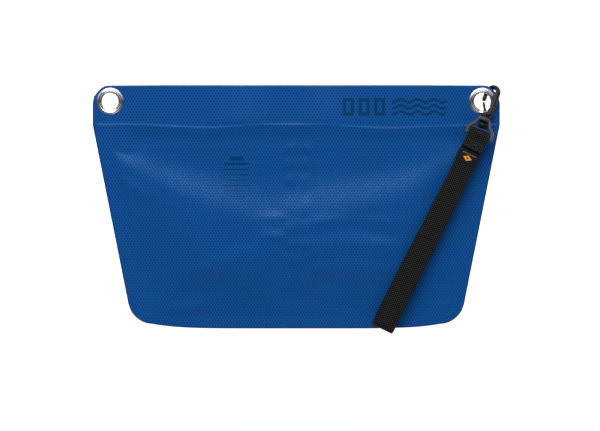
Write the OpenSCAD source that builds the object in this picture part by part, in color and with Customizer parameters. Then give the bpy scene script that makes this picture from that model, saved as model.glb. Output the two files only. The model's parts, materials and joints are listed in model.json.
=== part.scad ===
// Roll-top dry bag lying flat, with an eyelet at each end of its stiff mouth band
// and a hand strap whose swivel snap hook is clipped through the right eyelet.
// +Z is up from the table, +Y runs from the bottom of the bag to its mouth.

/* [Bag] */
// Width across the mouth band
band_w = 390.8; // [380:0.2:400]
// Height of the mouth band, which is one turn of the roll
band_h = 38; // [36:0.5:42]
// Height from the bottom edge to the mouth
bag_h = 233.3; // [225:0.1:250]
// Width at which the sloping sides would meet the bottom line
bottom_w = 312.8; // [290:0.2:330]
// Radius of the two bottom corners
bottom_corner_r = 19; // [12:1:30]
// How far the bottom edge rises towards its corners
bottom_rise = 4.4; // [2:0.2:8]
// Size of the cut corners of the band
ear_cut = 10.7; // [8:0.1:12]
// Thickness of the coated fabric in the panels
fabric_t = 1; // [0.6:0.1:1.4]
// Height of the side welds above the table
mid_z = 8; // [7.8:0.1:9]
// How far the back panel bulges below the welds
back_bulge = 7; // [5:0.1:7]
// Share of that bulge which the front panel has
front_share = 0.93; // [0.7:0.01:1]
// How far each lip of the mouth stands off the middle
lip_gap = 4.5; // [3.5:0.1:5]

/* [Eyelets] */
// Distance of each eyelet's centre from the side edge
eyelet_inset = 16.8; // [15:0.1:20]
// Distance of each eyelet's centre from the mouth edge
eyelet_drop = 15.1; // [14:0.1:18]
// Radius of the eyelet's hole
eyelet_r = 7.75; // [7.5:0.05:8]
// Radius of the eyelet's flange
flange_r = 12.9; // [12:0.1:13.5]

/* [Snap hook] */
// Angle of the hook's length from the bag's height
hook_lay = 21; // [20:0.5:22]
// Slope of the hook's length, which falls towards the bow
hook_tilt = 17; // [16.5:0.1:17.5]
// Slope of the bow's plane about the hook's length
hook_roll = 42; // [41:0.5:43]
// Height of the hook's length at its collar
hook_z = 16.2; // [16:0.05:16.4]
// Radius of the rod that the hook is made of
rod_r = 2; // [1.8:0.05:2.1]

/* [Strap] */
// Width of the webbing
web_w = 20.5; // [18:0.5:20.5]
// Thickness of the webbing
web_t = 1.4; // [1.2:0.1:1.4]
// Length of the folded strap from the bar to its far end
strap_len = 207; // [120:1:220]
// Angle of the strap from the bag's height
strap_lay = 26.3; // [24:0.1:27]

/* [Hidden] */
$fn = 48;

blue = [0.02, 0.22, 0.56];
steel = [0.8, 0.8, 0.82];
black = [0.06, 0.06, 0.07];
charcoal = [0.24, 0.24, 0.25];

// the middle of the outer box is put over the origin
shift = [-0.14, -114.25, -0.04];

crease_y = bag_h - band_h;
roll_y = crease_y - band_h;
// each fold leaves this gap between the pieces on its two sides
fold_gap = 0.3;
band_half = band_w / 2;
bottom_half = bottom_w / 2;
side_weld = 6;
ear_l = 34;
side_rise = 70;
lip_rise = 45;
bottom_run = 75;
roll_bulge = 6;
corner_x = bottom_half + 2 - bottom_corner_r;

// runs smoothly from 0 to 1 as t does
function smooth(t) = (1 - cos(180 * min(max(t, 0), 1))) / 2;
function mix(a, b, t) = a + (b - a) * t;
function half_w(y) = bottom_half + (band_half - bottom_half) * min(y / crease_y, 1);
function arc(cx, cy, r, a0, a1, n) =
    [for (i = [0:n]) [cx + r * cos(mix(a0, a1, i / n)), cy + r * sin(mix(a0, a1, i / n))]];

// lower edge of the bag at the share u of its half width
function past_corner(u) = max(abs(u) * (bottom_half + 2) - corner_x, 0);
function low_edge(u) = bottom_rise * pow(min(abs(u) * (bottom_half + 2) / corner_x, 1), 6)
    + bottom_corner_r - sqrt(pow(bottom_corner_r, 2) - pow(past_corner(u), 2));

// share of the way from the roll line to the crease, 0 below it
function in_strip(y) = smooth((y - roll_y) / band_h);
function weld_w(y) = mix(side_weld, ear_l, in_strip(y));
function rise_w(y) = mix(side_rise, lip_rise, in_strip(y));
function full_bulge(y) = y < roll_y
    ? mix(back_bulge, roll_bulge, smooth((y - bottom_run) / (roll_y - bottom_run)))
    : mix(roll_bulge, lip_gap, in_strip(y));
function bulge(u, y) = full_bulge(y)
    * smooth((half_w(y) * (1 - abs(u)) - weld_w(y)) / rise_w(y))
    * smooth((y - low_edge(u) - side_weld) / bottom_run);

// One coated sheet: a grid that follows the bulge, from the row function y0 to the height y1.
// The columns crowd towards the sides, where the corners are.
module sheet(y1, columns, rows, from_bottom, y0, share) {
    function u_at(i) = sin(mix(-90, 90, i / columns));
    function y_at(i, j) = mix(from_bottom ? low_edge(u_at(i)) : y0, y1, j / rows);
    function at(i, j, up) = [u_at(i) * half_w(y_at(i, j)), y_at(i, j),
        share * bulge(u_at(i), y_at(i, j)) + up];
    function id(i, j, inner) = ((inner ? rows + 1 : 0) + j) * (columns + 1) + i;
    points = [for (up = [fabric_t, 0], j = [0:rows], i = [0:columns]) at(i, j, up)];
    outer = [for (j = [0:rows - 1], i = [0:columns - 1])
        [id(i, j, false), id(i, j + 1, false), id(i + 1, j + 1, false), id(i + 1, j, false)]];
    inner = [for (j = [0:rows - 1], i = [0:columns - 1])
        [id(i, j, true), id(i + 1, j, true), id(i + 1, j + 1, true), id(i, j + 1, true)]];
    low = [for (i = [0:columns - 1])
        [id(i, 0, true), id(i, 0, false), id(i + 1, 0, false), id(i + 1, 0, true)]];
    high = [for (i = [0:columns - 1])
        [id(i + 1, rows, true), id(i + 1, rows, false), id(i, rows, false), id(i, rows, true)]];
    left = [for (j = [0:rows - 1])
        [id(0, j + 1, true), id(0, j + 1, false), id(0, j, false), id(0, j, true)]];
    right = [for (j = [0:rows - 1])
        [id(columns, j, true), id(columns, j, false),
            id(columns, j + 1, false), id(columns, j + 1, true)]];
    quads = concat(outer, inner, low, high, left, right);
    polyhedron(points, [for (q = quads, k = [0, 2]) [q[k], q[k + 1], q[(k + 2) % 4]]]);
}

// the front faces up and the back is its mirror image below the welds
module facing(front) {
    translate([0, 0, mid_z]) {
        if (front) children();
        else mirror([0, 0, 1]) children();
    }
}

module body_sheet(front) {
    facing(front) sheet(roll_y - fold_gap / 2, 26, 11, true, 0, front ? front_share : 1);
}
module strip_sheet(front) {
    facing(front) sheet(crease_y - fold_gap / 2, 26, 4, false, roll_y + fold_gap / 2,
        front ? front_share : 1);
}
module front_panel() { color(blue) place() body_sheet(true); }
module back_panel() { color(blue) place() body_sheet(false); }
module front_roll_strip() { color(blue) place() strip_sheet(true); }
module back_roll_strip() { color(blue) place() strip_sheet(false); }

// lap weld that joins the front sheet's two edges, lying on the sheet's outer side
seam_w = 9.6;
seam_x = 1.7;
seam_t = 0.5;
module seam(y0, y1, rows) {
    under = [for (j = [0:rows]) let (y = mix(y0, y1, j / rows)) if (y > side_weld)
        [y, mid_z + fabric_t + front_share * bulge(0, y)]];
    over = [for (j = [rows:-1:0]) let (y = mix(y0, y1, j / rows)) if (y > side_weld)
        [y, mid_z + fabric_t + seam_t + front_share * bulge(0, y)]];
    translate([seam_x - seam_w / 2, 0, 0]) rotate([90, 0, 90]) linear_extrude(seam_w)
        polygon(concat(under, over));
}
module body_seam() { color(blue) place() seam(0, roll_y - fold_gap / 2, 11); }
module strip_seam() {
    color(blue) place() seam(roll_y + fold_gap / 2, crease_y - fold_gap / 2, 4);
}

// The band: a hem on each side of the mouth, welded together at the two ears.
hem_t = 0.8;
lip_t = 2;
stiffener_t = 1;
stiffener_half = 148;
stiffener_inset = 5.5;
lip_steps = 60;
ear_bend_r = 6;
function lip_x(i) = mix(-band_half, band_half, i / lip_steps);
function lip_in(x) = lip_gap * smooth((band_half - ear_l - abs(x)) / lip_rise);
function lip_out(x) = lip_in(x) + mix(hem_t, lip_t, smooth((band_half - ear_l - abs(x)) / 10));

module across(x_half, share, lower, upper) {
    xs = [for (i = [0:lip_steps]) if (abs(lip_x(i)) <= x_half) lip_x(i)];
    n = len(xs) - 1;
    translate([0, bag_h, 0]) rotate([90, 0, 0]) linear_extrude(band_h - fold_gap / 2)
        polygon(concat(
            [for (x = xs) [x, share * lip_in(x) + lower]],
            [for (i = [n:-1:0]) [xs[i], upper < 0
                ? share * lip_in(xs[i]) + lip_out(xs[i]) - lip_in(xs[i])
                : share * lip_in(xs[i]) + upper]]));
}
module band_outline() {
    bend = ear_bend_r * tan(22.5);
    corner = concat(
        arc(band_half - ear_bend_r, bag_h - ear_cut - bend, ear_bend_r, 0, 45, 4),
        arc(band_half - ear_cut - bend, bag_h - ear_bend_r, ear_bend_r, 45, 90, 4));
    n = len(corner) - 1;
    polygon(concat([[-band_half, crease_y], [band_half, crease_y]], corner,
        [for (i = [n:-1:0]) [-corner[i][0], corner[i][1]]]));
}
module stiffener_slab(share) {
    intersection() {
        across(stiffener_half, share, (lip_t - stiffener_t) / 2, (lip_t + stiffener_t) / 2);
        translate([-stiffener_half, crease_y + stiffener_inset, 0])
            cube([2 * stiffener_half, band_h - 2 * stiffener_inset, 20]);
    }
}
module lip(front) {
    share = front ? front_share : 1;
    difference() {
        intersection() {
            facing(front) across(band_half, share, 0, -1);
            linear_extrude(2 * mid_z) band_outline();
        }
        facing(front) stiffener_slab(share);
        for (side = [-1, 1]) eyelet_at(side) cylinder(h = 10, r = eyelet_r + barrel_t, center = true);
    }
}
module front_lip() { color(blue) place() lip(true); }
module back_lip() { color(blue) place() lip(false); }
module front_stiffener() { color("white") place() facing(true) stiffener_slab(front_share); }
module back_stiffener() { color("white") place() facing(false) stiffener_slab(1); }

// Eyelets: a barrel with a flange on the front, rolled over a washer on the back.
barrel_t = 0.6;
flange_t = 0.6;
module eyelet_at(side) {
    translate([side * (band_half - eyelet_inset), bag_h - eyelet_drop, mid_z]) children();
}
module barrel() {
    top = hem_t + flange_t;
    rotate_extrude() polygon([[eyelet_r, -top], [eyelet_r + barrel_t, -top],
        [eyelet_r + barrel_t, hem_t], [flange_r, hem_t], [flange_r - 0.3, hem_t + 0.35],
        [flange_r - 1.3, top], [eyelet_r + 1, top], [eyelet_r + 0.3, top - 0.2], [eyelet_r, top - 0.6]]);
}
module washer() {
    rotate_extrude() polygon([[eyelet_r + barrel_t, -hem_t], [eyelet_r + barrel_t, -hem_t - flange_t],
        [flange_r - 0.6, -hem_t - flange_t], [flange_r, -hem_t]]);
}
module left_eyelet() { color(steel) place() eyelet_at(-1) barrel(); }
module right_eyelet() { color(steel) place() eyelet_at(1) barrel(); }
module left_eyelet_washer() { color(steel) place() eyelet_at(-1) washer(); }
module right_eyelet_washer() { color(steel) place() eyelet_at(1) washer(); }

// Snap hook. Its length is +Z of in_hook, the bow's end up, with the collar at 0;
// in the bow's plane +X points from the spine to the nose.
collar_at = [181, 202.8, hook_z];
module in_base() {
    translate(collar_at) rotate([-90 - hook_tilt, 0, -hook_lay]) children();
}
module in_hook() { in_base() rotate([0, 0, 180 - hook_roll]) children(); }

spine_x = -4.7;
nose_x = 8.9;
bow_z = 25.1;
nose_end_z = 17.6;
spine_low_z = 8;
ridge_r = 1.7;
ridge_step = 1.3;
collar_r = 4.4;
post_r = 2;
head_r = 3.9;
head_z = -12.2;
gate_x = 0.6;
gate_z = 4.2;
gate_pin_r = 0.8;
cheek_half = 2.8;
slot_half = 1.6;
socket_z = [-5.4, -1.5];

// straight round rod between two points of the bow's plane
module rod(x0, z0, x1, z1, r) {
    translate([x0, 0, z0]) rotate([0, atan2(x1 - x0, z1 - z0), 0])
        cylinder(h = norm([x1 - x0, z1 - z0]), r = r);
}
module plate(half_t, points) {
    rotate([90, 0, 0]) linear_extrude(2 * half_t, center = true) polygon(points);
}
module hook_body() {
    color(black) place() in_hook() difference() {
        union() {
            // ridged spine
            for (k = [-1:1]) translate([spine_x - (k == 0 ? 0.4 : 0), k * ridge_step, spine_low_z - 1])
                cylinder(h = bow_z - spine_low_z + 1, r = ridge_r);
            // bow
            translate([(spine_x + nose_x) / 2, 0, bow_z]) rotate([90, 0, 0])
                rotate_extrude(angle = 180) translate([(nose_x - spine_x) / 2, 0]) circle(r = rod_r);
            translate([spine_x, 0, bow_z]) sphere(r = rod_r);
            // nose
            rod(nose_x, nose_end_z, nose_x, bow_z, rod_r - 0.1);
            translate([nose_x, 0, nose_end_z]) sphere(r = rod_r - 0.1);
            // shoulder and the two cheeks that hold the gate's pin
            plate(cheek_half, [[-3.4, 1.2], [3.2, 1.2], [3, 4.4], [0.9, 6.6], [-2.8, 7.6],
                [-3, 10.5], [spine_x - 1.6, 10.5], [spine_x - 1.6, 6]]);
            // collar, swivel post and its retaining head
            translate([0, 0, socket_z[1] + 0.3]) cylinder(h = 3, r = collar_r);
            translate([0, 0, socket_z[0] - 1]) cylinder(h = 6, r = post_r);
            translate([0, 0, head_z]) rotate_extrude()
                polygon(concat([[0, 0]], arc(0, head_r, head_r, -75, -15, 6),
                    [[head_r, head_r], [head_r, 5], [head_r - 1.2, socket_z[0] - 0.3 - head_z],
                    [0, socket_z[0] - 0.3 - head_z]]));
        }
        // slot for the gate
        translate([-1.9, -slot_half, 2]) cube([8, 2 * slot_half, 10]);
        translate([gate_x, 0, gate_z]) rotate([90, 0, 0])
            cylinder(h = 10, r = gate_pin_r, center = true);
    }
}
module gate_pin() {
    color(steel) place() in_hook() translate([gate_x, 0, gate_z]) rotate([90, 0, 0])
        cylinder(h = 2 * cheek_half, r = gate_pin_r, center = true);
}
gate_tip_x = 7.5;
gate_tip_z = 14.3;
gate_rod_r = 1.3;
knuckle_r = 1.9;
module hook_gate() {
    color(black) place() in_hook() difference() {
        union() {
            translate([gate_x, 0, gate_z]) rotate([90, 0, 0])
                cylinder(h = 2 * slot_half - 0.6, r = knuckle_r, center = true);
            rod(gate_x, gate_z, gate_tip_x, gate_tip_z, gate_rod_r);
            translate([gate_tip_x, 0, gate_tip_z]) sphere(r = gate_rod_r);
        }
        translate([gate_x, 0, gate_z]) rotate([90, 0, 0])
            cylinder(h = 10, r = gate_pin_r + 0.2, center = true);
    }
}

// Swivel base: a socket round the post, two arms, a rail, and the bar for the webbing.
bar_z = -19.8;
bar_r = 1.5;
base_half_t = 1.6;
wall_in = 11;
wall_out = 12.7;
module swivel_base() {
    arm = [[3.4, -1.8], [6.2, -3.2], [9.2, -9.6], [10, -12.2], [wall_out, -14.6],
        [wall_out, -20.8], [wall_out - 0.6, -22], [wall_in, -22.2], [wall_in, -14.1]];
    n = len(arm) - 1;
    color(charcoal) place() in_base() difference() {
        union() {
            plate(base_half_t, concat(arm, [for (i = [n:-1:0]) [-arm[i][0], arm[i][1]]]));
            translate([0, 0, socket_z[0]]) cylinder(h = socket_z[1] - socket_z[0], r = collar_r + 0.2);
            translate([0, 0, bar_z]) rotate([0, 90, 0])
                cylinder(h = 2 * wall_in + 1, r = bar_r, center = true);
        }
        // window that the head of the post turns in
        plate(5, [[-4.6, socket_z[0]], [4.6, socket_z[0]], [6.8, -10], [6.8, -12.3],
            [-6.8, -12.3], [-6.8, -10]]);
        translate([0, 0, -8]) cylinder(h = 10, r = post_r + 0.3);
    }
}

// Strap: one webbing folded round the bar, sewn to itself, and left open as a hand loop.
// In in_strap X runs down the strap from the bar and Y is up.
strap_slope = 0.6;
eye_r = 1.8;
eye_x = -0.8;
eye_flat_x = 1.4;
eye_end_x = 7;
over_end_x = 16;
over_t = 0.9;
sewn_end_x = 31;
loop_half = 2.4;
loop_run = 50;
loop_steps = 8;
module in_strap() {
    bar_at = collar_at + bar_z * [sin(hook_lay) * cos(hook_tilt),
        cos(hook_lay) * cos(hook_tilt), -sin(hook_tilt)];
    translate(bar_at) rotate([90, strap_slope, -90 - strap_lay]) children();
}
// half height of the inside of the hand loop
function loop_h(x) = loop_half * smooth((x - sewn_end_x) / loop_run);
function loop_x(i) = mix(sewn_end_x, sewn_end_x + loop_run, i / loop_steps);
loop_end_x = strap_len - loop_half - web_t;
function loop_side(up, t) = [for (i = [0:loop_steps]) [loop_x(i), up * (loop_h(loop_x(i)) + t)]];
function reversed(list) = [for (i = [len(list) - 1:-1:0]) list[i]];
module strap_profile() {
    difference() {
        polygon(concat(
            arc(eye_x, 0, eye_r + web_t, 90, 270, 12),
            [[eye_end_x, -web_t]], loop_side(-1, web_t),
            arc(loop_end_x, 0, loop_half + web_t, -90, 90, 12),
            reversed(loop_side(1, web_t)),
            [[over_end_x, web_t], [over_end_x, web_t + over_t], [eye_end_x, web_t + over_t]]));
        polygon(concat(arc(eye_x, 0, eye_r, 90, 270, 12),
            [[eye_flat_x, -eye_r], [eye_end_x, 0], [eye_flat_x, eye_r]]));
        polygon(concat(loop_side(-1, 0), arc(loop_end_x, 0, loop_half, -90, 90, 12),
            reversed([for (i = [1:loop_steps]) [loop_x(i), loop_h(loop_x(i))]])));
    }
}
module strap_webbing() {
    color(black) place() in_strap() linear_extrude(web_w, center = true) strap_profile();
}

// woven label, a sleeve round the sewn part
label_x = [17, 29.5];
label_t = 0.4;
module strap_label() {
    color([0.1, 0.1, 0.13]) place() in_strap() difference() {
        translate([label_x[0], -web_t - label_t, -web_w / 2 - label_t])
            cube([label_x[1] - label_x[0], 2 * (web_t + label_t), web_w + 2 * label_t]);
        translate([0, -web_t, -web_w / 2]) cube([40, 2 * web_t, web_w]);
    }
}

// box stitch with crossed lines, lying on the top layer
stitch_x = [7.5, 14];
stitch_half = 7.5;
thread = 0.6;
thread_t = 0.25;
module strap_stitching() {
    w = stitch_x[1] - stitch_x[0];
    mid = (stitch_x[0] + stitch_x[1]) / 2;
    turn = atan2(2 * stitch_half - thread, w - thread);
    color(charcoal) place() in_strap() translate([0, web_t + over_t + thread_t, 0]) rotate([90, 0, 0])
        linear_extrude(thread_t) union() {
            difference() {
                translate([stitch_x[0], -stitch_half]) square([w, 2 * stitch_half]);
                translate([stitch_x[0] + thread, -stitch_half + thread])
                    square([w - 2 * thread, 2 * (stitch_half - thread)]);
            }
            for (k = [-1, 1]) translate([mid, 0]) rotate(k * turn)
                square([norm([w, 2 * stitch_half]) - 2 * thread, thread], center = true);
        }
}

module place() { translate(shift) children(); }

front_panel();
back_panel();
body_seam();
front_roll_strip();
back_roll_strip();
strip_seam();
front_lip();
back_lip();
front_stiffener();
back_stiffener();
left_eyelet();
left_eyelet_washer();
right_eyelet();
right_eyelet_washer();
hook_body();
gate_pin();
hook_gate();
swivel_base();
strap_webbing();
strap_label();
strap_stitching();
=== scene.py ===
"""Looks of the roll-top dry bag: coated fabric shells, webbing strap, eyelets, hook, stage.

Lengths inside the shape functions are millimetres in the bag's own plane: x from its middle,
y up from its bottom edge and z up from the table. row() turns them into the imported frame."""

import json
import math

import bpy
import numpy as np
from mathutils import Matrix, Vector


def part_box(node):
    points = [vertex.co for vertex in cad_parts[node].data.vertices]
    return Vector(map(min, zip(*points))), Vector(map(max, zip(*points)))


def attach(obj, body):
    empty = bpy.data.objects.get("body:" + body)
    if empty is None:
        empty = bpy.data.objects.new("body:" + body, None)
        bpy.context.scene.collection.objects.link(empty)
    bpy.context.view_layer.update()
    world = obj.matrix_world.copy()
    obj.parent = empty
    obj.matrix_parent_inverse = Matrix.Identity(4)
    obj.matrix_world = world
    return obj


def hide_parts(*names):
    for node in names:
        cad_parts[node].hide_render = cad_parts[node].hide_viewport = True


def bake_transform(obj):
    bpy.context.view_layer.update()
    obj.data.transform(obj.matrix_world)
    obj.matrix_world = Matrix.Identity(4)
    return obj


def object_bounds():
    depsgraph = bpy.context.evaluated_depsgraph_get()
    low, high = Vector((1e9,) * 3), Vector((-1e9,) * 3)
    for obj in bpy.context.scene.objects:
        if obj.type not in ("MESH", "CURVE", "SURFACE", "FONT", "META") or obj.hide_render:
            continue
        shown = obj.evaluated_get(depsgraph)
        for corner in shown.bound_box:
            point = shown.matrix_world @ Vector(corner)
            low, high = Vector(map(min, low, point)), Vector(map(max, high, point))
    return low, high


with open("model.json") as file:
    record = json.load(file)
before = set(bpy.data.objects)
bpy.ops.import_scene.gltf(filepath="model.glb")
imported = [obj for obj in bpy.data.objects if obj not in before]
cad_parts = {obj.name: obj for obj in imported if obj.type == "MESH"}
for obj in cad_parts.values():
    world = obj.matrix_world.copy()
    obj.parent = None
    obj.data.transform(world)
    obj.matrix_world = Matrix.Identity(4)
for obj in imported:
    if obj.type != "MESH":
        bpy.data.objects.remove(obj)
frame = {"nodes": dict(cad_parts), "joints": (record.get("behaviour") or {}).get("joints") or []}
cad_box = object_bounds()

MM = 0.001

# ---------------------------------------------------------------- sizes from the frame
panel_lo, panel_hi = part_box("front_panel")
lip_lo, lip_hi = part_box("front_lip")
centre_x = (lip_lo.x + lip_hi.x) / 2
ORIGIN = Vector((centre_x, panel_lo.y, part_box("back_panel")[0].z))
BAND_HALF = (lip_hi.x - lip_lo.x) / 2 / MM
BAG_H = (lip_hi.y - panel_lo.y) / MM
MID_Z = (panel_lo.z - ORIGIN.z) / MM
ROLL_Y = (panel_hi.y - panel_lo.y) / MM + 0.15
BAND_H = (BAG_H - ROLL_Y) / 2
CREASE_Y = ROLL_Y + BAND_H
BOTTOM_HALF = BAND_HALF - 39.0
CORNER_R = 19.0
CORNER_X = BOTTOM_HALF + 2.0 - CORNER_R
BOTTOM_RISE = 4.4
SIDE_WELD = 6.0
EAR_L = 34.0
BACK_BULGE = MID_Z - 1.0
ROLL_BULGE = 6.0
LIP_GAP = 4.5
FRONT_SHARE = 0.93
FABRIC_T = 0.7
HEM_T = 1.9
EAR_T = 0.85


joints = {j["name"]: j for j in frame["joints"]} if isinstance(frame["joints"], list) else frame["joints"]
STRAP_LAY = math.radians(26.3)


def row(points):
    """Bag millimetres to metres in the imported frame."""
    return np.asarray(points, float) * MM + np.array(ORIGIN)


def smooth(t):
    return (1 - np.cos(np.pi * np.clip(t, 0, 1))) / 2


def mix(a, b, t):
    return a + (b - a) * t


def bump(t):
    return np.exp(-(t**2))


# ---------------------------------------------------------------- mesh making
def add_object(name, verts, faces, material, flat=None, edge=None, walls=0):
    """A mesh object. flat is each vertex's place on the flat cloth, edge its distance from a cut,
    and walls how many of the last faces are flat-shaded cut edges."""
    mesh = bpy.data.meshes.new(name)
    mesh.from_pydata([tuple(v) for v in verts], [], [tuple(f) for f in faces])
    if flat is not None:
        layer = mesh.attributes.new("flat", "FLOAT_VECTOR", "POINT")
        layer.data.foreach_set("vector", np.asarray(flat, float).ravel())
    if edge is not None:
        layer = mesh.attributes.new("edge", "FLOAT", "POINT")
        layer.data.foreach_set("value", np.asarray(edge, float).ravel())
    mesh.materials.append(material)
    mesh.polygons.foreach_set("use_smooth", [True] * (len(faces) - walls) + [False] * walls)
    mesh.update()
    obj = bpy.data.objects.new(name, mesh)
    bpy.context.scene.collection.objects.link(obj)
    return obj


def shell_faces(rows, cols):
    """Quads of a closed sheet whose vertices are an outer grid and then an inner one."""
    faces = []
    n = rows * cols

    def at(r, c, inner):
        return (n if inner else 0) + r * cols + c

    for r in range(rows - 1):
        for c in range(cols - 1):
            faces.append((at(r, c, 0), at(r, c + 1, 0), at(r + 1, c + 1, 0), at(r + 1, c, 0)))
            faces.append((at(r, c, 1), at(r + 1, c, 1), at(r + 1, c + 1, 1), at(r, c + 1, 1)))
    for c in range(cols - 1):
        faces.append((at(0, c, 1), at(0, c + 1, 1), at(0, c + 1, 0), at(0, c, 0)))
        last = rows - 1
        faces.append((at(last, c, 0), at(last, c + 1, 0), at(last, c + 1, 1), at(last, c, 1)))
    for r in range(rows - 1):
        faces.append((at(r, 0, 0), at(r + 1, 0, 0), at(r + 1, 0, 1), at(r, 0, 1)))
        last = cols - 1
        faces.append((at(r, last, 1), at(r + 1, last, 1), at(r + 1, last, 0), at(r, last, 0)))
    return faces


# ---------------------------------------------------------------- node helpers
class Nodes:
    """Short calls for building a material's nodes."""

    def __init__(self, name):
        self.material = bpy.data.materials.new(name)
        self.material.use_nodes = True
        self.tree = self.material.node_tree
        self.tree.nodes.clear()
        self.shader = self.tree.nodes.new("ShaderNodeBsdfPrincipled")
        out = self.tree.nodes.new("ShaderNodeOutputMaterial")
        self.tree.links.new(self.shader.outputs[0], out.inputs[0])

    def put(self, socket, value):
        if isinstance(value, bpy.types.NodeSocket):
            self.tree.links.new(value, socket)
        else:
            socket.default_value = value

    def math(self, op, a, b=None, c=None):
        node = self.tree.nodes.new("ShaderNodeMath")
        node.operation = op
        for socket, value in zip(node.inputs, (a, b, c)):
            if value is not None:
                self.put(socket, value)
        return node.outputs[0]

    def attribute(self, name):
        node = self.tree.nodes.new("ShaderNodeAttribute")
        node.attribute_name = name
        return node

    def flat_xy(self):
        split = self.tree.nodes.new("ShaderNodeSeparateXYZ")
        self.tree.links.new(self.attribute("flat").outputs["Vector"], split.inputs[0])
        return split.outputs[0], split.outputs[1]

    def noise(self, vector, scale, detail=3.0, rough=0.5):
        node = self.tree.nodes.new("ShaderNodeTexNoise")
        node.inputs["Scale"].default_value = scale
        node.inputs["Detail"].default_value = detail
        node.inputs["Roughness"].default_value = rough
        self.put(node.inputs["Vector"], vector)
        return node.outputs["Fac"]

    def object_coords(self):
        return self.tree.nodes.new("ShaderNodeTexCoord").outputs["Object"]

    def ramp(self, fac, stops):
        node = self.tree.nodes.new("ShaderNodeValToRGB")
        ramp = node.color_ramp
        while len(ramp.elements) < len(stops):
            ramp.elements.new(0.5)
        for element, (place, colour) in zip(ramp.elements, stops):
            element.position = place
            element.color = (*colour, 1) if len(colour) == 3 else colour
        self.put(node.inputs[0], fac)
        return node.outputs[0]

    def mix(self, fac, a, b):
        node = self.tree.nodes.new("ShaderNodeMix")
        node.data_type = "RGBA"
        self.put(node.inputs[0], fac)
        for socket, value in ((node.inputs[6], a), (node.inputs[7], b)):
            self.put(socket, (*value, 1) if isinstance(value, tuple) else value)
        return node.outputs[2]

    def bump(self, height, distance, strength=1.0, normal=None):
        node = self.tree.nodes.new("ShaderNodeBump")
        node.inputs["Strength"].default_value = strength
        node.inputs["Distance"].default_value = distance
        self.put(node.inputs["Height"], height)
        if normal is not None:
            self.put(node.inputs["Normal"], normal)
        return node.outputs[0]

    def wave(self, x, y, kx, ky):
        """cos(kx x + ky y)"""
        return self.math("COSINE", self.math("MULTIPLY_ADD", x, kx, self.math("MULTIPLY", y, ky)))

    def set(self, **values):
        for key, value in values.items():
            self.put(self.shader.inputs[key.replace("_", " ")], value)
        return self.material


NET_ACROSS, NET_ROW = 2.87, 2.53


def diamond_net(n, x, y):
    """0 on two crossing sets of raised threads, up to 1 in the sunk cells between them."""
    kx, ky = 2 * math.pi / NET_ACROSS, math.pi / NET_ROW
    thread = n.math("MAXIMUM", n.wave(x, y, kx, ky), n.wave(x, y, kx, -ky))
    return n.math("SUBTRACT", 1.0, n.math("POWER", n.math("MULTIPLY_ADD", thread, 0.5, 0.5), 2.0))


# ---------------------------------------------------------------- materials
BLUE = (0.0012, 0.036, 0.190)
# The lighter blue is a painted highlight for the net's raised threads; the sunk cells keep the darker base
# blue as painted shade.
BLUE_PAINTED_HIGHLIGHT = (0.0075, 0.092, 0.310)
BLUE_DARK = (0.0010, 0.033, 0.155)
PRINT_TEAL = (0.001, 0.026, 0.075)


def fabric_material(name, marks):
    """Coated fabric: an embossed diamond mesh with painted highlight on its raised threads and painted shade
    in its sunk cells, a satin coat, painted shade along the cut edge and, if asked, plain marks.
    """
    n = Nodes(name)
    x, y = n.flat_xy()
    place = n.attribute("flat").outputs["Vector"]
    lattice = diamond_net(n, x, y)
    soft = n.noise(place, 0.02, 2.0)
    fine = n.noise(place, 1.4, 3.0, 0.6)
    # Painted highlight and shade: the net's raised threads get the lighter blue and its sunk cells the darker
    # base blue.
    colour = n.mix(lattice, BLUE_PAINTED_HIGHLIGHT, BLUE)
    colour = n.mix(n.math("MULTIPLY", soft, 0.35), colour, BLUE_DARK)
    if marks:
        colour = n.mix(n.math("MULTIPLY", print_marks(n, x, y), 0.8), colour, PRINT_TEAL)
    # Painted shade: the colour darkens to a deep blue within 1.5 mm of the cut edge, standing in for the
    # shade along the outline.
    edge = n.attribute("edge").outputs["Fac"]
    painted_edge_shade = n.math("SUBTRACT", 1.0, n.math("MULTIPLY", edge, 1 / 1.5))
    painted_edge_shade = n.math("MAXIMUM", n.math("MINIMUM", painted_edge_shade, 1.0), 0.0)
    colour = n.mix(n.math("MULTIPLY", painted_edge_shade, 0.85), colour, (0.001, 0.012, 0.09))
    rough = n.math("MULTIPLY_ADD", fine, 0.10, n.math("MULTIPLY_ADD", soft, 0.06, 0.16))
    height = n.math("MULTIPLY_ADD", lattice, -1.0, n.math("MULTIPLY", fine, 0.10))
    return n.set(Base_Color=colour, Roughness=rough, Normal=n.bump(height, 0.00010, 1.0),
                 Specular_IOR_Level=0.18, Specular_Tint=(0.5, 0.75, 1.0, 1.0))


def box_mark(n, x, y, cx, cy, hx, hy):
    return n.math("MULTIPLY", n.math("COMPARE", x, cx, hx), n.math("COMPARE", y, cy, hy))


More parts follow.
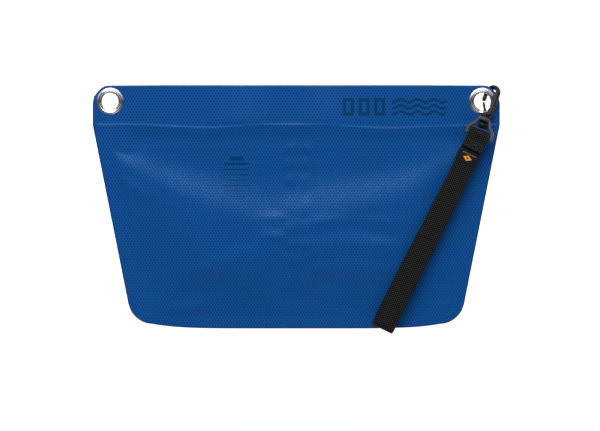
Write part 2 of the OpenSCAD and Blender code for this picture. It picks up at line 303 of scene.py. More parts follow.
def print_marks(n, x, y):
    """Plain marks: wavy lines and outlined blocks on the band, and a column of short bars below it.

    Millimetres from the middle of the bag and up from its bottom edge."""
    total = None
    band_mid = CREASE_Y + BAND_H * 0.45
    parts = []
    for k in range(3):
        swing = n.math("MULTIPLY", n.math("SINE", n.math("MULTIPLY", x, 2 * math.pi / 16)), 1.5)
        level = n.math("ADD", swing, band_mid + (k - 1) * 5.8)
        line = n.math("COMPARE", y, level, 1.35)
        parts.append(n.math("MULTIPLY", line, n.math("COMPARE", x, 118.0, 26.0)))
    for cx in (80.0, 65.0, 50.0):
        parts.append(n.math("MULTIPLY", box_mark(n, x, y, cx, band_mid, 5.2, 8.4),
                            n.math("SUBTRACT", 1.0, box_mark(n, x, y, cx, band_mid, 2.2, 5.4))))
    bars = [(6, 2.0), (12, 0.9), (12, 0.5)] + [(half, 0.45) for half in (13, 9, 12, 12, 8)]
    for k, (half, thick) in enumerate(bars):
        parts.append(box_mark(n, x, y, -57.0, 163.0 - 5.2 * k, half, thick))
    for part in parts:
        total = part if total is None else n.math("MAXIMUM", total, part)
    return n.math("MULTIPLY", total, 0.95)


def metal_material():
    n = Nodes("bright_nickel")
    place = n.object_coords()
    cloud = n.noise(place, 900.0, 3.0, 0.6)
    rough = n.math("MULTIPLY_ADD", cloud, 0.10, 0.10)
    colour = n.ramp(cloud, [(0.3, (0.56, 0.54, 0.55)), (0.7, (0.72, 0.70, 0.71))])
    return n.set(Base_Color=colour, Roughness=rough, Metallic=1.0, Normal=n.bump(cloud, 0.00003, 0.4))


def plastic_material(name, dark, light, rough_low):
    n = Nodes(name)
    place = n.object_coords()
    grain = n.noise(place, 2600.0, 2.0, 0.5)
    cloud = n.noise(place, 160.0, 2.0, 0.5)
    colour = n.mix(cloud, dark, light)
    rough = n.math("MULTIPLY_ADD", cloud, 0.12, rough_low)
    return n.set(Base_Color=colour, Roughness=rough, Normal=n.bump(grain, 0.00002, 0.5),
                 Specular_IOR_Level=0.25)


WEB_PITCH = 2.5


def webbing_material():
    """Black polyester webbing: staggered floats with a painted highlight on their tops and painted shade in
    the dark gaps between, and a smooth selvedge.
    """
    n = Nodes("black_webbing")
    x, y = n.flat_xy()
    place = n.attribute("flat").outputs["Vector"]
    k = 2 * math.pi / WEB_PITCH
    floats = n.math("MULTIPLY", n.wave(x, y, k, 0.0), n.wave(x, y, 0.0, k * 0.85))
    yarn = n.math("MULTIPLY", n.wave(x, y, 0.0, k * 5), 0.12)
    height = n.math("ADD", n.math("MULTIPLY_ADD", floats, 0.5, 0.5), yarn)
    fuzz = n.noise(place, 3.0, 3.0, 0.6)
    # Painted highlight and shade: the colour follows the floats' height, grey on their tops and near black in
    # the gaps, with random fuzz in the tone.
    colour = n.ramp(n.math("MULTIPLY_ADD", fuzz, 0.3, n.math("MULTIPLY", height, 0.75)),
                    [(0.48, (0.0004, 0.0004, 0.0005)), (0.88, (0.046, 0.045, 0.043))])
    rough = n.math("MULTIPLY_ADD", fuzz, 0.2, 0.50)
    return n.set(Base_Color=colour, Roughness=rough, Normal=n.bump(height, 0.00035, 0.9),
                 Specular_IOR_Level=0.05)


def label_material():
    """Fine dark satin weave with a grey line and a plain orange lozenge."""
    n = Nodes("woven_label")
    x, y = n.flat_xy()
    weave = n.math("MULTIPLY", n.wave(x, y, 9.0, 0.0), n.wave(x, y, 0.0, 9.0))
    colour = n.mix(n.math("MULTIPLY_ADD", weave, 0.5, 0.5), (0.002, 0.002, 0.005), (0.007, 0.006, 0.011))
    dash = n.math("GREATER_THAN", n.math("SINE", n.math("MULTIPLY", y, 3.4)), -0.5)
    grey = n.math("MULTIPLY", dash, n.math("MULTIPLY", n.math("COMPARE", x, 20.4, 0.45),
                                           n.math("COMPARE", y, 0.0, 7.2)))
    colour = n.mix(grey, colour, (0.17, 0.17, 0.18))
    reach = n.math("ADD", n.math("ABSOLUTE", n.math("MULTIPLY", n.math("SUBTRACT", x, 24.6), 1.7)),
                   n.math("ABSOLUTE", y))
    ring = n.math("MULTIPLY", n.math("LESS_THAN", reach, 4.6), n.math("GREATER_THAN", reach, 1.5))
    colour = n.mix(ring, colour, (0.85, 0.27, 0.03))
    return n.set(Base_Color=colour, Roughness=0.7, Normal=n.bump(weave, 0.00008, 0.7),
                 Specular_IOR_Level=0.15)


def thread_material():
    n = Nodes("black_thread")
    place = n.object_coords()
    twist = n.noise(place, 4000.0, 2.0, 0.5)
    colour = n.mix(twist, (0.008, 0.008, 0.009), (0.03, 0.03, 0.032))
    return n.set(Base_Color=colour, Roughness=0.6, Normal=n.bump(twist, 0.00006, 0.6))


def floor_material():
    n = Nodes("pale_floor")
    cloud = n.noise(n.object_coords(), 3.0, 2.0)
    colour = n.mix(cloud, (0.90, 0.90, 0.90), (0.93, 0.93, 0.93))
    return n.set(Base_Color=colour, Roughness=0.9, Emission_Color=colour, Emission_Strength=0.62)


FABRIC = fabric_material("coated_blue_printed", True)
FABRIC_BACK = fabric_material("coated_blue", False)
METAL = metal_material()
HOOK_BLACK = plastic_material("hook_black", (0.001, 0.001, 0.001), (0.004, 0.004, 0.004), 0.28)
BASE_GREY = plastic_material("base_grey", (0.030, 0.030, 0.030), (0.055, 0.055, 0.055), 0.34)
WEBBING = webbing_material()
LABEL = label_material()
THREAD = thread_material()


# ---------------------------------------------------------------- the bag's shape
def half_w(y):
    return mix(BOTTOM_HALF, BAND_HALF, np.minimum(y / CREASE_Y, 1))


def low_edge(u):
    reach = np.abs(u) * (BOTTOM_HALF + 2)
    past = np.maximum(reach - CORNER_X, 0)
    rise = BOTTOM_RISE * np.minimum(reach / CORNER_X, 1) ** 6
    return rise + CORNER_R - np.sqrt(np.maximum(CORNER_R**2 - past**2, 0))


def in_strip(y):
    return smooth((y - ROLL_Y) / BAND_H)


def swell(x, y, bottom):
    """How far a panel stands off the plane of the welds, the same rule as the CAD panels."""
    level = np.where(y < ROLL_Y, mix(BACK_BULGE, ROLL_BULGE, smooth((y - 75) / (ROLL_Y - 75))),
                     mix(ROLL_BULGE, LIP_GAP, in_strip(y)))
    weld = mix(SIDE_WELD, EAR_L, in_strip(y))
    rise = mix(70.0, 45.0, in_strip(y))
    return level * smooth((half_w(y) - np.abs(x) - weld) / rise) * smooth((y - bottom - SIDE_WELD) / 75)


def soft_line(x, points, spread):
    """A chain of points as y over x, its corners rounded over about spread on each side."""
    xs, ys = np.array(points, float).T
    return sum(np.interp(x + k * spread / 3, xs, ys) for k in range(-3, 4)) / 7


RIDGE = [(-196, 186), (-170, 158), (-147, 141), (-112, 124), (-64, 105), (-34, 90), (-14, 86),
         (6, 100), (52, 109), (100, 122), (150, 147), (196, 184)]
HEM_WAVES = [(-196, 0.6), (-150, 0.9), (-112, -1.2), (-80, -2.4), (-50, 0.2), (-20, 1.2), (2, 0.6),
             (30, 1.2), (60, -1.6), (95, -2.6), (130, -0.8), (196, 1.0)]


def hem_line(x):
    """Height of the wavy lower edge of the band."""
    return CREASE_Y - 1.8 + soft_line(x, HEM_WAVES, 12)


SEAM_X, SEAM_HALF = 1.7, 4.8
RIDGE_RISE = 1.7
VALLEY_SINK = 2.1


def valley(x, y):
    """The fabric sinks from the band into a trough, then rises to a ridge that sags to the middle."""
    ridge = soft_line(x, RIDGE, 9)
    span = CREASE_Y + 2 - ridge
    t = np.clip((y - ridge) / np.maximum(span, 1), 0, 1)
    size = np.clip(span / 80, 0.02, 1.1) ** 0.75
    climb = mix(RIDGE_RISE, -VALLEY_SINK, smooth(t / 0.5))
    fall = mix(-VALLEY_SINK, 0, smooth((t - 0.5) / 0.5))
    below = RIDGE_RISE * bump((y - ridge) / mix(13, 80, smooth((188 - np.abs(x)) / 60)))
    return size * np.where(y < ridge, below, np.where(t < 0.5, climb, fall))


def folds(x, y):
    """Soft creases of the side that faces up, millimetres of height."""
    z = valley(x, y)
    # puckers on both sides of the centre weld
    z += 0.3 * bump((np.abs(x - SEAM_X) - 7) / 6) * np.sin(2 * np.pi * y / 19 + 1.5 * np.sin(y / 13))
    # ripples across the right of the body
    room = smooth((x - 4) / 26) * smooth((118 - x) / 45) * smooth((y - 22) / 22) * smooth((112 - y) / 18)
    sway = 0.55 + 0.25 * np.sin(x / 19 + y / 31)
    z += sway * room * np.sin(2 * np.pi * (84 - y + 4 * bump((x - 50) / 34)) / 25.6 + 0.3 * np.sin(x / 23))
    # two short folds low on the left, a few near the seam
    for cx, cy, lx, ly, tilt, height in (
        (-78, 60, 34, 8, 0.35, 1.3), (-102, 18, 34, 8, 0.32, 1.5), (-20, 106, 15, 5, 0.0, 0.7),
        (-18, 88, 16, 5, -0.1, 0.9), (-16, 46, 14, 6, 0.3, 0.5), (-158, 136, 20, 6, -0.55, 0.8),
        (24, 102, 22, 6, 0.1, 0.8), (140, 20, 22, 7, 0.5, 0.6), (-60, 84, 40, 14, -0.3, -0.5),
    ):
        ax = (x - cx) * math.cos(tilt) + (y - cy) * math.sin(tilt)
        ay = -(x - cx) * math.sin(tilt) + (y - cy) * math.cos(tilt)
        z += height * bump(ax / lx) * bump(ay / ly)
    return z * (1 - 0.85 * bump(strap_distance(x, y) / 22))


def strap_distance(x, y):
    """Distance from the line that the strap lies along."""
    bar = (np.array(joints["strap_lift"]["pos_m"]) - np.array(ORIGIN)) / MM
    return (x - bar[0]) * math.cos(STRAP_LAY) - (y - bar[1]) * math.sin(STRAP_LAY)


def band_waves(x, y):
    """The band leans a little back in two places, and its lower edge is a raised wavy weld."""
    lean = bump((x + 50) / 26) + bump((x - 28) / 24)
    return -0.05 * lean * (y - CREASE_Y - BAND_H / 2) + 0.25 * bump((x - 110) / 40)


def hem_bead(x, y):
    d = y - hem_line(x)
    return 0.8 * np.where(d > 0, bump(d / 1.5), bump(d / 0.8))


def seam_step(x):
    d = SEAM_HALF - np.abs(x - SEAM_X)
    return 0.32 * smooth(d / 0.5 + 0.5) + 0.10 * bump((d - 0.2) / 0.8)


def edge_distance(x, y, bottom):
    """Distance in from the cut outline, in millimetres."""
    side = (half_w(y) - np.abs(x)) * np.where(y < CREASE_Y, 0.98, 1.0)
    return np.minimum(side, np.maximum(y - bottom, 0) + 0.0 * x)


SPLIT_Y = ROLL_Y + BAND_H / 2


def columns(count):
    """Shares of the half width, closer together towards the sides."""
    u = np.sin(np.linspace(-np.pi / 2, np.pi / 2, count)) * 0.35 + np.linspace(-1, 1, count) * 0.65
    return u


def body_piece(name, front):
    """A panel from the bottom weld to the middle of the roll strip, as a closed sheet."""
    sign, share = (1, FRONT_SHARE) if front else (-1, 1.0)
    u = columns(230)
    rows = 100
    low = low_edge(u)
    t = np.linspace(0, 1, rows)[:, None]
    tail = np.array([0.1, 1.6, 2.97, 3.0])[:, None]
    y = np.vstack([low[None, :] + t * (SPLIT_Y - low[None, :]), SPLIT_Y + tail + 0 * low[None, :]])
    x = u[None, :] * half_w(y)
    bottom = np.broadcast_to(low[None, :], y.shape)
    inset = edge_distance(x, y, bottom)
    room = smooth((inset - SIDE_WELD) / 16)
    stand = share * swell(x, y, bottom)
    if front:
        creases = folds(x, y) * room + seam_step(x) * smooth((inset - 3) / 3) + weld_rim(inset)
    else:
        creases = back_folds(x, y) * room + weld_rim(inset)
    tuck = smooth((y - SPLIT_Y) / 0.1)
    inner = np.maximum(stand + creases, 0.0)
    if not front:
        inner = np.minimum(inner, MID_Z - FABRIC_T - 0.02)
    outer = inner + FABRIC_T - 0.01 * tuck
    inner = inner + 0.01 * tuck
    x = x * (1 - 0.0003 * tuck)
    verts = np.concatenate([np.stack([x, y, MID_Z + sign * outer], -1).reshape(-1, 3),
                            np.stack([x, y, MID_Z + sign * inner], -1).reshape(-1, 3)])
    flat = np.tile(np.stack([x, y, np.zeros_like(x)], -1).reshape(-1, 3), (2, 1))
    edge = np.tile(inset.reshape(-1), 2)
    faces = shell_faces(*x.shape)
    if not front:
        faces = [f[::-1] for f in faces]
    walls = len(faces) - 2 * (x.shape[0] - 1) * (x.shape[1] - 1)
    obj = add_object(name, row(verts), faces, FABRIC if front else FABRIC_BACK, flat, edge, walls)

    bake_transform(obj)
    return obj


def weld_rim(inset):
    """A faint step where the side weld's flat rim ends."""
    return 0.16 * bump((inset - SIDE_WELD - 1.0) / 1.2)


def back_folds(x, y):
    z = np.zeros_like(x)
    for cx, cy, lx, ly, tilt, height in (
        (-90, 150, 60, 10, -0.4, -1.2), (95, 150, 60, 10, 0.4, -1.2), (10, 70, 70, 14, 0.1, -0.9),
        (-80, 40, 50, 12, 0.3, -0.8), (90, 45, 50, 12, -0.3, -0.9), (0, 120, 90, 12, 0.0, -0.7),
    ):
        ax = (x - cx) * math.cos(tilt) + (y - cy) * math.sin(tilt)
        ay = -(x - cx) * math.sin(tilt) + (y - cy) * math.cos(tilt)
        z += height * bump(ax / lx) * bump(ay / ly)
    return z


EAR_CUT = 10.7


def outline_top(ax):
    """Upper edge of the band at the distance ax from the middle: straight, then the cut corner."""
    drop = ax - (BAND_HALF - EAR_CUT)
    k = 1.6
    return BAG_H - np.where(drop > -8, k * np.logaddexp(0, drop / k), 0.0)


def band_piece(name, front):
    """The upper half of the roll strip and the hem of the mouth, as a closed sheet."""
    sign, share = (1, FRONT_SHARE) if front else (-1, 1.0)
    u = columns(260)
    t = np.linspace(0, 1, 54)[:, None]
    t = np.vstack([[[0.0]], t + (1 - t) * 0.0006])
    top = outline_top(np.abs(u) * BAND_HALF)
    y = SPLIT_Y + t * (top[None, :] - SPLIT_Y)
    x = u[None, :] * half_w(y)
    corner = bump((y - BAG_H + EAR_CUT) / 4) * smooth((np.abs(x) - BAND_HALF + 8) / 8)
    x = x - np.sign(x) * 1.1 * corner
    side = BAND_HALF - EAR_L - np.abs(x)
    on_band = smooth((y - hem_line(x) + 1) / 2)
    stand = share * swell(x, y, np.zeros_like(y))
    inset = np.minimum(edge_distance(x, y, np.full_like(y, -50.0)), top[None, :] - y)
    room = smooth((edge_distance(x, y, np.full_like(y, -50.0)) - SIDE_WELD) / 16)
    hem = mix(EAR_T, HEM_T, smooth(side / 12 + 0.4))
    thick = mix(FABRIC_T, hem, smooth((y - hem_line(x) + 11) / 10))
    if front:
        loose = folds(x, y) * room + seam_step(x) + weld_rim(edge_distance(x, y, np.full_like(y, -50.0)))
        held = band_waves(x, y) * smooth(side / 30) + 0.25 * seam_step(x)
        lift = mix(loose, held, smooth((y - CREASE_Y + 4) / 10))
        lift = lift + hem_bead(x, y) * smooth((inset - 1) / 4) * 0.8
    else:
        lift = back_folds(x, y) * room * (1 - smooth((y - CREASE_Y + 4) / 10)) + hem_bead(x, y) * 0.4
    crown = 0.22 * np.sqrt(np.clip((top[None, :] - y) / 1.2, 0, 1)) - 0.22
    outer = np.maximum(stand + lift, 0.0) + thick + crown * on_band
    inner = np.maximum(stand + lift * (1 - on_band), 0.0)
    if not front:
        outer = np.minimum(outer, MID_Z - 0.02)
    verts = np.concatenate([np.stack([x, y, MID_Z + sign * outer], -1).reshape(-1, 3),
                            np.stack([x, y, MID_Z + sign * inner], -1).reshape(-1, 3)])
    flat = np.tile(np.stack([x, y, np.zeros_like(x)], -1).reshape(-1, 3), (2, 1))
    edge = np.tile(inset.reshape(-1), 2)
    faces = shell_faces(*x.shape)
    if not front:
        faces = [f[::-1] for f in faces]
    walls = len(faces) - 2 * (x.shape[0] - 1) * (x.shape[1] - 1)
    obj = add_object(name, row(verts), faces, FABRIC if front else FABRIC_BACK, flat, edge, walls)
    for sx in (-1, 1):
        drill(obj, sx)

    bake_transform(obj)
    return obj


EYE_X = BAND_HALF - 16.8
EYE_Y = BAG_H - 15.1
EYE_HOLE = 8.5


def drill(obj, side):
    """Cuts the eyelet's hole through the hem."""
    bpy.ops.mesh.primitive_cylinder_add(vertices=64, radius=EYE_HOLE * MM, depth=0.03,
                                        location=row((side * EYE_X, EYE_Y, MID_Z)))
    tool = bpy.context.object
    cut = obj.modifiers.new("hole", "BOOLEAN")
    cut.operation, cut.object, cut.solver = "DIFFERENCE", tool, "EXACT"
    with bpy.context.temp_override(object=obj, active_object=obj, selected_objects=[obj]):
        bpy.ops.object.modifier_apply(modifier=cut.name)
    bpy.data.objects.remove(tool)


# ---------------------------------------------------------------- lathe pieces
def lathe(name, profile, centre, material, steps=96):
    """Turns a closed profile of (radius, height) points about +Z."""
    n = len(profile)
    verts, faces = [], []
    for k in range(steps):
        a = 2 * math.pi * k / steps
        for r, h in profile:
            verts.append((centre[0] + r * math.cos(a), centre[1] + r * math.sin(a), centre[2] + h))
    for k in range(steps):
        for i in range(n):
            j, k1 = (i + 1) % n, (k + 1) % steps
            faces.append((k * n + i, k1 * n + i, k1 * n + j, k * n + j))
    return add_object(name, row(verts), faces, material)


def arc(cx, cy, r, start, end, count):
    angles = np.radians(np.linspace(start, end, count))
    return [(cx + r * math.cos(a), cy + r * math.sin(a)) for a in angles]


def eyelet_piece(name, side, nodes):
    """Rolled eyelet: a domed front flange, the barrel, and its curl over the washer."""
    top = 0.75
    profile = (arc(12.0, top, 0.9, 0, 90, 6) + arc(11.0, top + 0.8, 0.5, 80, 130, 3)
               + arc(9.6, top + 0.35, 0.5, 130, 60, 3) + arc(8.7, top - 0.1, 0.95, 80, 180, 8)
               + arc(8.75, -top + 0.2, 1.0, 180, 270, 7) + arc(9.2, -top - 0.25, 0.55, 270, 350, 5)
               + [(9.9, -top - 0.30), (11.6, -top - 0.55)] + arc(12.2, -top - 0.1, 0.5, 270, 360, 5))
    obj = lathe(name, profile, (side * EYE_X, EYE_Y, MID_Z), METAL)
    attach(obj, "closure_band")
    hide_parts(*nodes)
    return obj


# ---------------------------------------------------------------- strap
STRAP_SLOPE = math.radians(0.6)
WEB_W = 20.5
WEB_T = 1.4
STRAP_LEN = 207.0
LOOP_HALF = 2.4
SEWN_END = 31.0
LOOP_RUN = 50.0
EYE_IN = 1.8
EYE_MID = -0.8
OVER_END = 16.0
STRAP_DRIFT = 1.8


def strap_frame():
    """Matrix from the strap's own metres, X down the strap and Y up, to the frame."""
    bar = Vector(joints["strap_lift"]["pos_m"])
    turn = (Matrix.Rotation(-math.pi / 2 - STRAP_LAY, 4, "Z") @ Matrix.Rotation(STRAP_SLOPE, 4, "Y")
            @ Matrix.Rotation(math.pi / 2, 4, "X"))
    return Matrix.Translation(bar) @ turn


def to_strap(points):
    m = np.array(strap_frame())
    p = np.asarray(points, float) * MM
    return p @ m[:3, :3].T + m[:3, 3]


def ribbon(name, path, width, thick, material, along_start=0.0, weave=0.0):
    """A webbing of rounded section along a path of (x, up) points in the strap's own plane."""
    path = np.array(path, float)
    step = np.diff(path, axis=0)
    length = np.concatenate([[0], np.cumsum(np.hypot(*step.T))])
    tangent = np.gradient(path, axis=0)
    tangent /= np.hypot(*tangent.T)[:, None]
    normal = np.stack([-tangent[:, 1], tangent[:, 0]], -1)
    half, ht = width / 2, thick / 2
    cross = []
    across = 26
    for i in range(across + 1):
        w = mix(-half + ht * 0.6, half - ht * 0.6, i / across)
        cross.append((w, ht))
    cross += [(half - 0.18, ht * 0.75), (half, 0.0), (half - 0.18, -ht * 0.75)]
    for i in range(across, -1, -1):
        w = mix(-half + ht * 0.6, half - ht * 0.6, i / across)
        cross.append((w, -ht))
    cross += [(-half + 0.18, -ht * 0.75), (-half, 0.0), (-half + 0.18, ht * 0.75)]
    cross = np.array(cross)
    n, m = len(path), len(cross)
    verts, flat = [], []
    for k in range(n):
        s = along_start + length[k]
        ripple = weave * np.cos(2 * np.pi * s / WEB_PITCH + np.pi * np.round(cross[:, 0] / (WEB_PITCH / 2)))
        h = cross[:, 1] * (1 + ripple)
        pos = path[k][None, :] + normal[k][None, :] * h[:, None]
        drift = STRAP_DRIFT * smooth((path[k][0] - 40) / 150) * smooth(0.5 - path[k][1] / 6)
        verts.append(np.stack([pos[:, 0], pos[:, 1], cross[:, 0] + drift], -1))
        flat.append(np.stack([np.full(m, s), cross[:, 0], np.zeros(m)], -1))
    faces = [(k * m + i, k * m + (i + 1) % m, (k + 1) * m + (i + 1) % m, (k + 1) * m + i)
             for k in range(n - 1) for i in range(m)]
    faces += [tuple(range(m))[::-1], tuple((n - 1) * m + i for i in range(m))]
    return add_object(name, to_strap(np.concatenate(verts)), faces, material, np.concatenate(flat))


def loop_h(x):
    return LOOP_HALF * smooth((np.asarray(x, float) - SEWN_END) / LOOP_RUN)


def strap_path():
    """Middle line of the webbing: from its top end, down and round the far end, up and round the bar."""
    ht = WEB_T / 2
    far = STRAP_LEN - LOOP_HALF - WEB_T
    down = np.arange(SEWN_END - 12, far, 1.0)
    points = [(x, float(loop_h(x)) + ht) for x in down]
    points += arc(far, 0.0, LOOP_HALF + ht, 90, -90, 16)[1:]
    points += [(x, -float(loop_h(x)) - ht) for x in down[::-1]]
    points += [(x, -ht) for x in np.arange(SEWN_END - 13, 6, -1.0)]
    points += [(3.0, -1.5), (1.0, -2.2)]
    points += arc(EYE_MID, 0.0, EYE_IN + ht, 270, 90, 16)
    points += [(1.0, 2.3), (3.0, 2.0), (5.0, 1.75)]
    points += [(x, WEB_T + 0.25) for x in np.arange(6.5, OVER_END + 0.1, 1.0)]
    return points


def strap_pieces():
    obj = ribbon("hand_strap", strap_path(), WEB_W, WEB_T, WEBBING, weave=0.10)
    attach(obj, "strap")
    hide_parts("strap_webbing")
    label = label_piece()
    stitches = stitch_piece()
    return obj, label, stitches


def label_piece():
    """Woven label folded round the strap as a sleeve."""
    half, top = WEB_W / 2 + 0.35, WEB_T + 0.30
    ring = arc(half - 0.5, top - 0.5, 0.5, 0, 90, 4) + arc(-half + 0.5, top - 0.5, 0.5, 90, 180, 4)
    ring += arc(-half + 0.5, -top + 0.5, 0.5, 180, 270, 4) + arc(half - 0.5, -top + 0.5, 0.5, 270, 360, 4)
    dense = []
    for a, b in zip(ring, ring[1:] + ring[:1]):
        count = max(1, int(math.hypot(b[0] - a[0], b[1] - a[1]) / 1.0))
        dense += [(mix(a[0], b[0], k / count), mix(a[1], b[1], k / count)) for k in range(count)]
    m = len(dense)
    xs = np.arange(17.0, 29.51, 0.5)
    verts, flat = [], []
    for skin in (0.0, 0.32):
        for x in xs:
            lift = 0.06 * math.sin(x * 1.1)
            for w, h in dense:
                scale_w, scale_h = (half - skin) / half, (top - skin + lift) / top
                verts.append((x, h * scale_h, w * scale_w))
                flat.append((x, w, 0.0))
    n = len(xs)
    faces = []
    for k in range(n - 1):
        for i in range(m):
            j = (i + 1) % m
            faces.append((k * m + i, k * m + j, (k + 1) * m + j, (k + 1) * m + i))
            o = n * m
            faces.append((o + k * m + i, o + (k + 1) * m + i, o + (k + 1) * m + j, o + k * m + j))
    for k in (0, n - 1):
        for i in range(m):
            j = (i + 1) % m
            ring_face = (k * m + i, k * m + j, n * m + k * m + j, n * m + k * m + i)
            faces.append(ring_face[::-1] if k == 0 else ring_face)
    obj = add_object("strap_label_sleeve", to_strap(verts), faces, LABEL, flat)
    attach(obj, "strap")
    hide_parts("strap_label")
    return obj


def stitch_piece():
    """Box stitch with crossed lines: short threads laid end to end on the top layer."""
    corners = [(7.6, -7.6), (7.6, 7.6), (13.8, 7.6), (13.8, -7.6)]
    runs = [(corners[i], corners[(i + 1) % 4]) for i in range(4)]
    runs += [(corners[0], corners[2]), (corners[1], corners[3])]
    top = 2 * WEB_T - 0.38
    verts, faces = [], []
    for a, b in runs:
        length = math.hypot(b[0] - a[0], b[1] - a[1])
        count = max(2, round(length / 2.1))
        for k in range(count):
            t0, t1 = (k + 0.12) / count, (k + 0.88) / count
            add_thread(verts, faces, (mix(a[0], b[0], t0), mix(a[1], b[1], t0)),
                       (mix(a[0], b[0], t1), mix(a[1], b[1], t1)), top)
    obj = add_object("strap_stitches", to_strap(verts), faces, THREAD)
    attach(obj, "strap")
    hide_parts("strap_stitching")
    return obj


def add_thread(verts, faces, a, b, top, radius=0.24):
    rings, sides = 5, 8
    d = np.array(b) - np.array(a)
    side = np.array([-d[1], d[0]]) / np.hypot(*d)
    start = len(verts)
    for k in range(rings):
        t = k / (rings - 1)
        bow = math.sin(math.pi * t)
        r = radius * (0.35 + 0.65 * bow)
        mid = np.array(a) + d * t
        for i in range(sides):
            angle = 2 * math.pi * i / sides
            w = mid + side * r * math.cos(angle)
            verts.append((w[0], top - 0.18 + 0.26 * bow + r * math.sin(angle), w[1]))
    for k in range(rings - 1):
        for i in range(sides):
            j = (i + 1) % sides
            faces.append((start + k * sides + i, start + k * sides + j,
                          start + (k + 1) * sides + j, start + (k + 1) * sides + i))
    faces.append(tuple(start + i for i in range(sides))[::-1])
    faces.append(tuple(start + (rings - 1) * sides + i for i in range(sides)))


# ---------------------------------------------------------------- hook and base
def tube(verts, faces, path, section, sides=20):
    """Adds a rod with rounded ends along (x, z) points; section gives half its depth and half its width."""
    path = np.array(path, float)
    tangent = np.gradient(path, axis=0)
    tangent /= np.hypot(*tangent.T)[:, None]
    start, count = len(verts), 0
    ends = [(0, -1, a) for a in (0.25, 0.6, 0.9)] + [(k, 0, 1) for k in range(len(path))]
    ends += [(len(path) - 1, 1, a) for a in (0.9, 0.6, 0.25)]
    for k, side, size in ends:
        depth, width = section(k / (len(path) - 1))
        reach = side * depth * math.sqrt(1 - size**2)
        mid = path[k] + tangent[k] * reach
        normal = np.array([-tangent[k][1], tangent[k][0]])
        for i in range(sides):
            angle = 2 * math.pi * i / sides
            p = mid + normal * depth * size * math.cos(angle)
            verts.append((p[0], width * size * math.sin(angle), p[1]))
        count += 1
    for k in range(count - 1):
        for i in range(sides):
            j = (i + 1) % sides
            faces.append((start + k * sides + i, start + k * sides + j,
                          start + (k + 1) * sides + j, start + (k + 1) * sides + i))
    faces.append(tuple(start + i for i in range(sides))[::-1])
    faces.append(tuple(start + (count - 1) * sides + i for i in range(sides)))


def turned(verts, faces, profile, sides=40):
    """Adds a closed turning about local Z from an open outline of (radius, height) points."""
    start = len(verts)
    for r, h in profile:
        for i in range(sides):
            angle = 2 * math.pi * i / sides
            verts.append((r * math.cos(angle), r * math.sin(angle), h))
    for k in range(len(profile) - 1):
        for i in range(sides):
            j = (i + 1) % sides
            faces.append((start + k * sides + i, start + k * sides + j,
                          start + (k + 1) * sides + j, start + (k + 1) * sides + i))
    faces.append(tuple(start + i for i in range(sides))[::-1])
    faces.append(tuple(start + (len(profile) - 1) * sides + i for i in range(sides)))


def unit(v):
    return np.array(v, float) / np.linalg.norm(v)


SWIVEL_DROP = 3.5
bow_axis = unit(joints["base_swivel"]["axis"])
collar_at = np.array(joints["base_swivel"]["pos_m"]) + SWIVEL_DROP * MM * bow_axis
nose_axis = np.cross(bow_axis, unit(joints["gate_open"]["axis"]))
side_axis = -unit(joints["strap_lift"]["axis"])


def placed(verts, x_axis):
    """Local millimetres to the frame: X along x_axis, Z towards the bow, from the collar."""
    axes = np.array([x_axis, np.cross(bow_axis, x_axis), bow_axis])
    return collar_at + np.array(verts) * MM @ axes


SPINE_X, NOSE_X, BOW_Z = -4.7, 8.9, 25.1


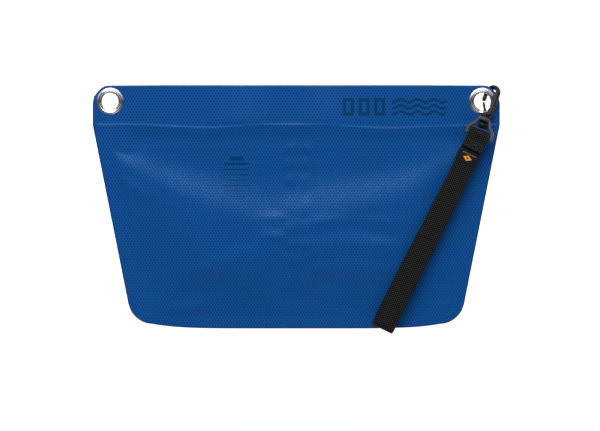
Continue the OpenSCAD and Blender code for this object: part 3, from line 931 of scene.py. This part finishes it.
def hook_pieces():
    verts, faces = [], []
    bow_r = (NOSE_X - SPINE_X) / 2
    bow = [(SPINE_X, z) for z in np.linspace(15, BOW_Z, 9)]
    bow += arc(SPINE_X + bow_r, BOW_Z, bow_r, 180, 0, 22)[1:]
    bow += [(NOSE_X, z) for z in np.linspace(BOW_Z, 18.6, 6)[1:]]
    tube(verts, faces, arc(SPINE_X + bow_r, BOW_Z, bow_r - 1.1, 160, 60, 12), lambda t: (1.4, 1.8))
    tube(verts, faces, bow, lambda t: (2.15, 2.6 + 0.9 * math.sin(math.pi * min(1, t * 1.15)) - 0.6 * t))
    for offset in (-1.9, 0.0, 1.9):
        ridge, ridge_faces = [], []
        line = [(SPINE_X - 0.1 + 0.12 * max(0, 8 - z), z) for z in np.linspace(3.2, 22.5, 16)]
        tube(ridge, ridge_faces, line, lambda t: (1.75, 1.15))
        base = len(verts)
        verts += [(x, y + offset, z) for x, y, z in ridge]
        faces += [tuple(base + i for i in f) for f in ridge_faces]
    root = [(-2.9, 2.4), (-3.0, 4.0), (-3.9, 7.0), (-4.4, 9.5)]
    tube(verts, faces, root, lambda t: (3.2 - 1.6 * t, 3.6 - 1.2 * t))
    collar = [(3.4, 3.4), (4.0, 3.1), (4.4, 2.4), (4.4, 1.5), (4.0, 0.9), (3.7, 0.5), (4.0, 0.1), (4.5, -0.4),
              (4.5, -1.0), (4.0, -1.4), (2.0, -1.6), (2.0, -6.8)]
    head = [(3.9 * math.cos(a), -9.2 - 2.9 * math.sin(a)) for a in np.linspace(-0.9, 1.45, 12)]
    turned(verts, faces, (collar + head)[::-1])
    hook = add_object("snap_hook", placed(verts, nose_axis), faces, HOOK_BLACK)
    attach(hook, "hook")
    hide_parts("hook_body")

    verts, faces = [], []
    gate = [(0.6 + 6.9 * t, 4.2 + 10.1 * t - 1.0 * math.sin(math.pi * t)) for t in np.linspace(0, 1, 14)]
    tube(verts, faces, gate, lambda t: (1.25 - 0.2 * t, 1.6 - 0.3 * t))
    tube(verts, faces, [(6.2, 12.2), (7.6, 13.6), (8.4, 15.2)], lambda t: (1.4 - 0.8 * t, 1.5 - 0.8 * t))
    leaf = add_object("snap_gate", placed(verts, nose_axis), faces, HOOK_BLACK)
    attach(leaf, "gate")
    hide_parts("hook_gate")

    verts, faces = [], []
    for side in (-1, 1):
        arm = [(4.2, -2.8), (5.6, -4.4), (6.5, -7.0), (7.8, -9.8), (9.8, -12.0), (11.6, -14.0), (12.3, -17.0),
               (12.2, -20.6)]
        steps = np.linspace(0, len(arm) - 1, 24)
        fine = np.array([np.interp(steps, range(len(arm)), along) for along in zip(*arm)]).T
        fine[1:-1] = (fine[:-2] + fine[1:-1] + fine[2:]) / 3
        tube(verts, faces, [(side * x, z) for x, z in fine], lambda t: (1.75, 2.0))
    tube(verts, faces, [(x, -13.6) for x in np.linspace(-9.5, 9.5, 10)], lambda t: (0.85, 1.2))
    tube(verts, faces, [(x, -19.8) for x in np.linspace(-11.5, 11.5, 10)], lambda t: (1.5, 1.5))
    turned(verts, faces, [(4.1, -5.3), (4.7, -4.9), (4.9, -3.4), (4.7, -2.0), (4.1, -1.7)])
    base = add_object("strap_yoke", placed(verts, side_axis), faces, BASE_GREY)
    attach(base, "base")
    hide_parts("swivel_base")


# ---------------------------------------------------------------- stage
# The floor lies below the reach of the folded band and the hanging strap, not under the bag.
FLOOR_DROP = 0.24


def stage():
    mesh = bpy.data.meshes.new("floor")
    size = 3.0
    corners = [(-size, -size, 0), (size, -size, 0), (size, size, 0), (-size, size, 0)]
    mesh.from_pydata(corners, [], [(0, 1, 2, 3)])
    mesh.materials.append(floor_material())
    floor = bpy.data.objects.new("floor", mesh)
    floor.location.z = cad_box[0].z - FLOOR_DROP
    bpy.context.scene.collection.objects.link(floor)
    bpy.context.scene.world = studio_world()
    bpy.context.scene.view_settings.view_transform = "Standard"
    area_light("key", (-0.2, 1.95, 2.2), 2.0, 74.0)
    area_light("fill", (0.5, -1.6, 1.4), 1.2, 6.0)


def studio_world():
    """Dark straight overhead, bright towards the head of the table, so slopes and metal read clearly."""
    world = bpy.data.worlds.new("studio")
    world.use_nodes = True
    tree = world.node_tree
    place = tree.nodes.new("ShaderNodeTexCoord").outputs["Generated"]
    split = tree.nodes.new("ShaderNodeSeparateXYZ")
    tree.links.new(place, split.inputs[0])
    ramp = tree.nodes.new("ShaderNodeValToRGB")
    stops = [(0.0, 0.42), (0.34, 0.20), (0.49, 0.05), (0.53, 0.10), (0.66, 0.75), (1.0, 0.95)]
    while len(ramp.color_ramp.elements) < len(stops):
        ramp.color_ramp.elements.new(0.5)
    for element, (at, value) in zip(ramp.color_ramp.elements, stops):
        element.position = at
        element.color = (value, value, value, 1)
    half = tree.nodes.new("ShaderNodeMath")
    half.operation = "MULTIPLY_ADD"
    half.inputs[1].default_value = 0.5
    half.inputs[2].default_value = 0.5
    tree.links.new(split.outputs[1], half.inputs[0])
    tree.links.new(half.outputs[0], ramp.inputs[0])
    tree.links.new(ramp.outputs[0], tree.nodes["Background"].inputs[0])
    tree.nodes["Background"].inputs[1].default_value = 1.0
    return world


def area_light(name, place, size, power):
    light = bpy.data.lights.new(name, "AREA")
    light.shape = "SQUARE"
    light.size = size
    light.energy = power
    obj = bpy.data.objects.new(name, light)
    obj.location = place
    obj.rotation_euler = (-Vector(place)).to_track_quat("-Z", "Y").to_euler()
    bpy.context.scene.collection.objects.link(obj)


def camera():
    """Straight above, far off, framing the bag as a product shot 576 mm wide."""
    data = bpy.data.cameras.new("camera")
    distance, view_w = 2.6, 0.576
    data.sensor_width = 36.0
    data.lens = data.sensor_width * distance / view_w
    data.clip_end = 20.0
    cam = bpy.data.objects.new("camera", data)
    aim = row((3.6, 108.4, MID_Z))
    cam.location = (aim[0], aim[1], aim[2] + distance)
    bpy.context.scene.collection.objects.link(cam)
    bpy.context.scene.camera = cam


# ---------------------------------------------------------------- build
camera()
stage()

front_body = body_piece("front_fabric", True)
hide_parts("front_panel", "front_roll_strip", "body_seam", "strip_seam")
back_body = body_piece("back_fabric", False)
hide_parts("back_panel", "back_roll_strip")
front_band = band_piece("front_hem", True)
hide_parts("front_lip", "front_stiffener")
back_band = band_piece("back_hem", False)
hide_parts("back_lip", "back_stiffener")

eyelet_piece("left_eyelet_ring", -1, ["left_eyelet", "left_eyelet_washer"])
eyelet_piece("right_eyelet_ring", 1, ["right_eyelet", "right_eyelet_washer"])
strap_pieces()
hook_pieces()

pin = frame["nodes"]["gate_pin"]
pin.data.materials.clear()
pin.data.materials.append(METAL)
